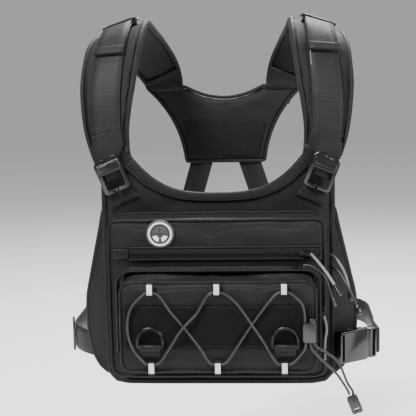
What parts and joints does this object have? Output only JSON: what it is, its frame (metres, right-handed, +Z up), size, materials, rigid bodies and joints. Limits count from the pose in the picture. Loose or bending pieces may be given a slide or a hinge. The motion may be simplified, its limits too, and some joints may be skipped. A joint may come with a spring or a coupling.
{
  "type": "chest rig harness vest",
  "caption": "Padded chest rig with zipped pouches, elastic cord lacing, padded shoulder straps and a buckled waist belt.",
  "frame": {"origin": "centre of the bib's flat rear face, where it rests on the wearer's chest", "axes": "+Z up the body, -Y to the front, +X to the right as seen from the front"},
  "size_m": [0.4055, 0.3547, 0.4714],
  "materials": {
    "nylon": "fine oxford weave, satin",
    "webbing": "ribbed nylon webbing",
    "zip_tape": "zip tape and coil",
    "hook_fabric": "loop pile",
    "reflective_webbing": "webbing with a silver stripe",
    "shock_cord": "braided elastic cord",
    "pull_sleeve": "soft sleeve",
    "black_plastic": "moulded acetal",
    "grey_plastic": "moulded nylon",
    "dark_metal": "black coated wire and die casting",
    "port_rubber": "matt moulded rubber",
    "port_centre": "soft moulding"
  },
  "bodies": {
    "harness": {"back_strap_left": "webbing", "back_strap_right": "webbing", "back_yoke": "nylon", "belt_adjuster": "black_plastic", "belt_anchor_left": "webbing", "belt_anchor_right": "webbing", "belt_buckle_insert": "black_plastic", "belt_buckle_shell": "black_plastic", "chest_panel": "nylon", "cord_end_clamp": "grey_plastic", "cord_lock_body": "grey_plastic", "cord_loop_bottom_1": "reflective_webbing", "cord_loop_bottom_2": "reflective_webbing", "cord_loop_bottom_3": "reflective_webbing", "cord_loop_top_1": "reflective_webbing", "cord_loop_top_2": "reflective_webbing", "cord_loop_top_3": "reflective_webbing", "cord_tail_1": "shock_cord", "cord_tail_2": "shock_cord", "d_ring_tab_left": "webbing", "d_ring_tab_right": "webbing", "earphone_port_flap": "port_centre", "earphone_port_ring": "port_rubber", "front_pouch": "nylon", "front_zip_tape": "zip_tape", "hook_field": "hook_fabric", "neckline_binding": "webbing", "shock_cord": "shock_cord", "shoulder_adjuster_left": "black_plastic", "shoulder_adjuster_right": "black_plastic", "shoulder_buckle_tab_left": "webbing", "shoulder_buckle_tab_right": "webbing", "shoulder_pad_left": "nylon", "shoulder_pad_right": "nylon", "shoulder_webbing_flap_left": "webbing", "shoulder_webbing_flap_right": "webbing", "shoulder_webbing_left": "webbing", "shoulder_webbing_right": "webbing", "side_wing_left": "nylon", "side_wing_right": "nylon", "upper_pouch": "nylon", "upper_zip_end_tab": "webbing", "upper_zip_tape": "zip_tape", "waist_belt": "webbing"},
    "upper_zip_runner": {"upper_zip_slider": "dark_metal", "upper_zip_pull_cord": "pull_sleeve", "upper_zip_pull_grip": "black_plastic"},
    "front_zip_runner_top": {"front_zip_slider_top": "dark_metal", "front_zip_top_pull_cord": "shock_cord", "front_zip_top_pull_grip": "black_plastic"},
    "front_zip_runner_side": {"front_zip_slider_side": "dark_metal", "front_zip_side_pull_cord": "pull_sleeve", "front_zip_side_pull_grip": "black_plastic"},
    "d_ring_left_body": {"d_ring_left": "dark_metal"},
    "d_ring_right_body": {"d_ring_right": "dark_metal"},
    "lock_button": {"cord_lock_button": "grey_plastic"},
    "ladder_buckle_left": {"shoulder_buckle_left": "black_plastic"},
    "ladder_buckle_right": {"shoulder_buckle_right": "black_plastic"},
    "prong_upper": {"belt_buckle_prong_upper": "black_plastic"},
    "prong_lower": {"belt_buckle_prong_lower": "black_plastic"}
  },
  "joints": [
    {"name": "upper_zip_slide", "type": "slide", "parent": "harness", "child": "upper_zip_runner", "axis": [1, 0, 0], "range_m": [-0.204, 0.008], "deforming": ["upper_zip_pull_cord", "upper_zip_pull_grip"]},
    {"name": "front_zip_top_slide", "type": "slide", "parent": "harness", "child": "front_zip_runner_top", "axis": [1, 0, 0], "range_m": [-0.186, 0.002], "deforming": ["front_zip_top_pull_cord", "front_zip_top_pull_grip"]},
    {"name": "front_zip_side_slide", "type": "slide", "parent": "harness", "child": "front_zip_runner_side", "axis": [0, 0, 1], "range_m": [-0.038, 0.006]},
    {"name": "d_ring_left_swing", "type": "hinge", "parent": "harness", "child": "d_ring_left_body", "pos_m": [-0.076, -0.1059, -0.048], "axis": [1, 0, 0], "range_deg": [0, 110]},
    {"name": "d_ring_right_swing", "type": "hinge", "parent": "harness", "child": "d_ring_right_body", "pos_m": [0.082, -0.1059, -0.048], "axis": [1, 0, 0], "range_deg": [0, 110]},
    {"name": "lock_button_press", "type": "slide", "parent": "harness", "child": "lock_button", "axis": [0, 0, 1], "range_m": [-0.004, 0], "stiffness_N_per_m": 900},
    {"name": "ladder_buckle_left_lift", "type": "hinge", "parent": "harness", "child": "ladder_buckle_left", "pos_m": [-0.12076, -0.011, 0.1256], "axis": [0.9272, 0, 0.3746], "range_deg": [0, 35]},
    {"name": "ladder_buckle_right_lift", "type": "hinge", "parent": "harness", "child": "ladder_buckle_right", "pos_m": [0.12076, -0.011, 0.1256], "axis": [0.9272, 0, -0.3746], "range_deg": [0, 35]},
    {"name": "prong_upper_squeeze", "type": "hinge", "parent": "harness", "child": "prong_upper", "pos_m": [0.1821, 0.01495, -0.064], "axis": [-0.5839, 0.8118, 0], "range_deg": [-11, 0], "stiffness_Nm_per_rad": 0.6},
    {"name": "prong_lower_squeeze", "type": "hinge", "parent": "harness", "child": "prong_lower", "pos_m": [0.1821, 0.01495, -0.086], "axis": [-0.5839, 0.8118, 0], "range_deg": [0, 11], "stiffness_Nm_per_rad": 0.6}
  ],
  "couplings": [
    {"joint": "prong_lower_squeeze", "follows": "prong_upper_squeeze", "ratio": -1}
  ]
}
